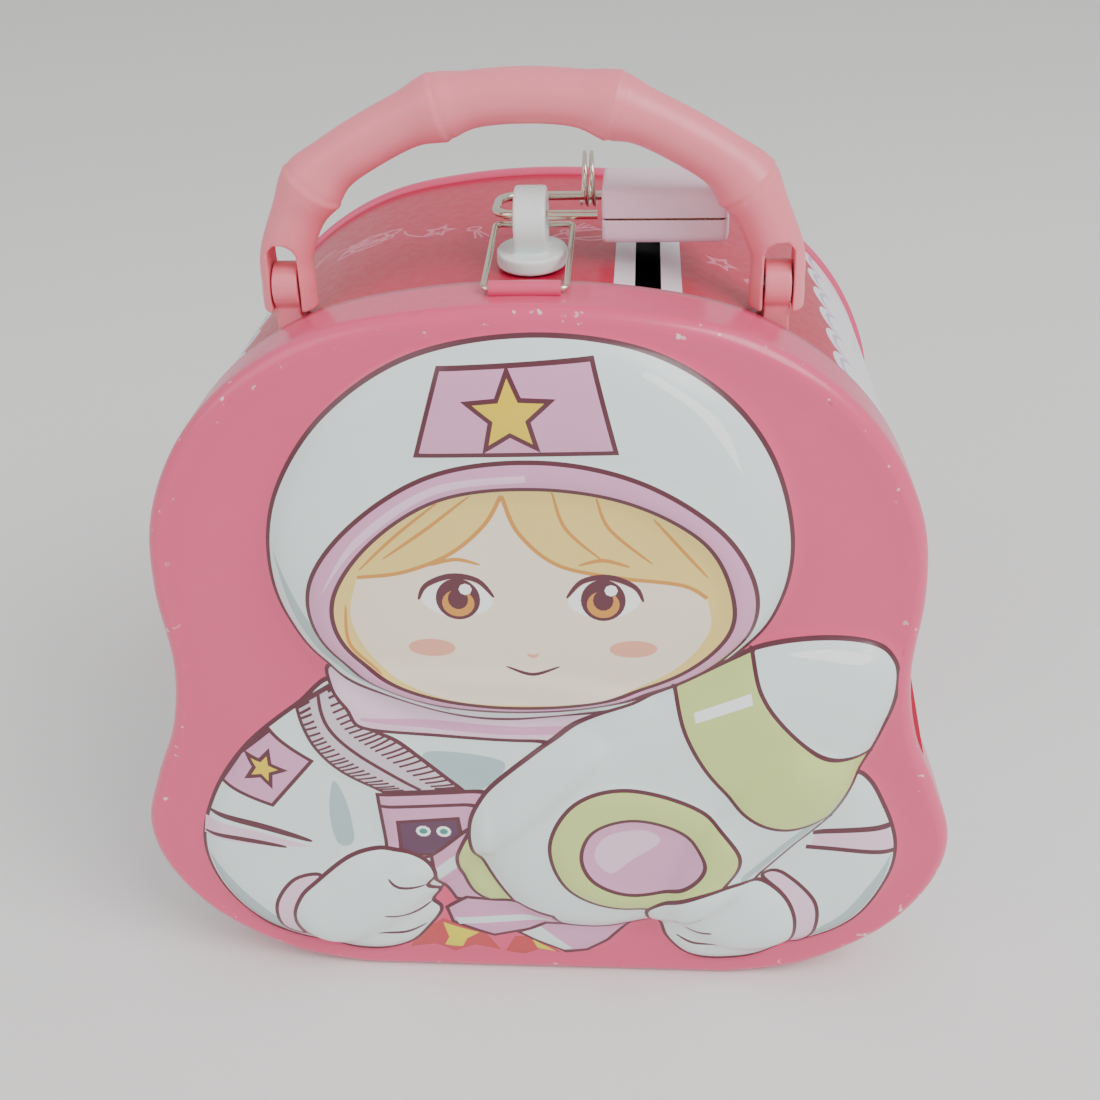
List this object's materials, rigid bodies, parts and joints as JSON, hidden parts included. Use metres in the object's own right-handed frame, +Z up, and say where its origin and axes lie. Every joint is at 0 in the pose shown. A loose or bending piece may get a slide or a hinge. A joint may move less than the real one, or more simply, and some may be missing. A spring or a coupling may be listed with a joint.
{
  "type": "money box",
  "caption": "Bell-shaped printed tin money box with a hinged drawn lid, coin slot, wire hasp, small padlock and bamboo-shaped plastic handle.",
  "frame": {"origin": "middle of the footprint, on the surface the box stands on", "axes": "+X across the box to its right seen from the front, +Y from the lid to the back, +Z up"},
  "size_m": [0.15, 0.082, 0.17],
  "materials": {
    "tin_pink": "lithographed tinplate, glossy varnish",
    "tin_rose": "lithographed tinplate, glossy varnish",
    "handle_pink": "moulded, satin gloss",
    "white_plastic": "moulded, satin",
    "lilac_plastic": "moulded, satin",
    "nickel": "nickel plated wire",
    "steel": "plain",
    "brass": "plain"
  },
  "bodies": {
    "tin": {"side_band": "tin_rose", "back_panel": "tin_pink", "hinge_pin": "steel", "staple": "white_plastic", "staple_washer": "steel", "lug_left": "handle_pink", "lug_right": "handle_pink", "lug_washer_left": "steel", "lug_washer_right": "steel"},
    "lid": {"lid": "tin_pink"},
    "bail": {"hasp_bail": "nickel"},
    "handle": {"handle": "handle_pink", "handle_pin_left": "steel", "handle_pin_right": "steel"},
    "shackle": {"shackle": "nickel"},
    "lock": {"lock_body": "brass", "lock_cover_upper": "lilac_plastic", "lock_cover_lower": "lilac_plastic"},
    "plug": {"key_plug": "brass"},
    "latch": {"latch_bolt": "steel"},
    "ring": {"split_ring": "nickel"}
  },
  "joints": [
    {"name": "lid_hinge", "type": "hinge", "parent": "tin", "child": "lid", "pos_m": [0, -0.0266, 0.00125], "axis": [1, 0, 0], "range_deg": [0, 105]},
    {"name": "bail_lift", "type": "hinge", "parent": "lid", "child": "bail", "pos_m": [0, -0.0345, 0.13935], "axis": [1, 0, 0], "range_deg": [0, 4.5]},
    {"name": "handle_swing", "type": "hinge", "parent": "tin", "child": "handle", "pos_m": [0, -0.0237, 0.13635], "axis": [1, 0, 0], "range_deg": [-9, 80]},
    {"name": "padlock_swing", "type": "hinge", "parent": "tin", "child": "shackle", "pos_m": [0, -0.0168, 0.1455], "axis": [1, 0, 0], "range_deg": [0, 75]},
    {"name": "shackle_slide", "type": "slide", "parent": "shackle", "child": "lock", "axis": [1, 0, 0], "range_m": [-0.004, 0]},
    {"name": "plug_turn", "type": "hinge", "parent": "lock", "child": "plug", "pos_m": [0.027, -0.0123, 0.1455], "axis": [1, 0, 0], "range_deg": [0, 90]},
    {"name": "latch_slide", "type": "slide", "parent": "lock", "child": "latch", "axis": [0, -1, 0], "range_m": [0, 0.0007]},
    {"name": "ring_swing", "type": "hinge", "parent": "lock", "child": "ring", "pos_m": [0.009, -0.0058, 0.1455], "axis": [1, 0, 0], "range_deg": [-150, 90]}
  ]
}
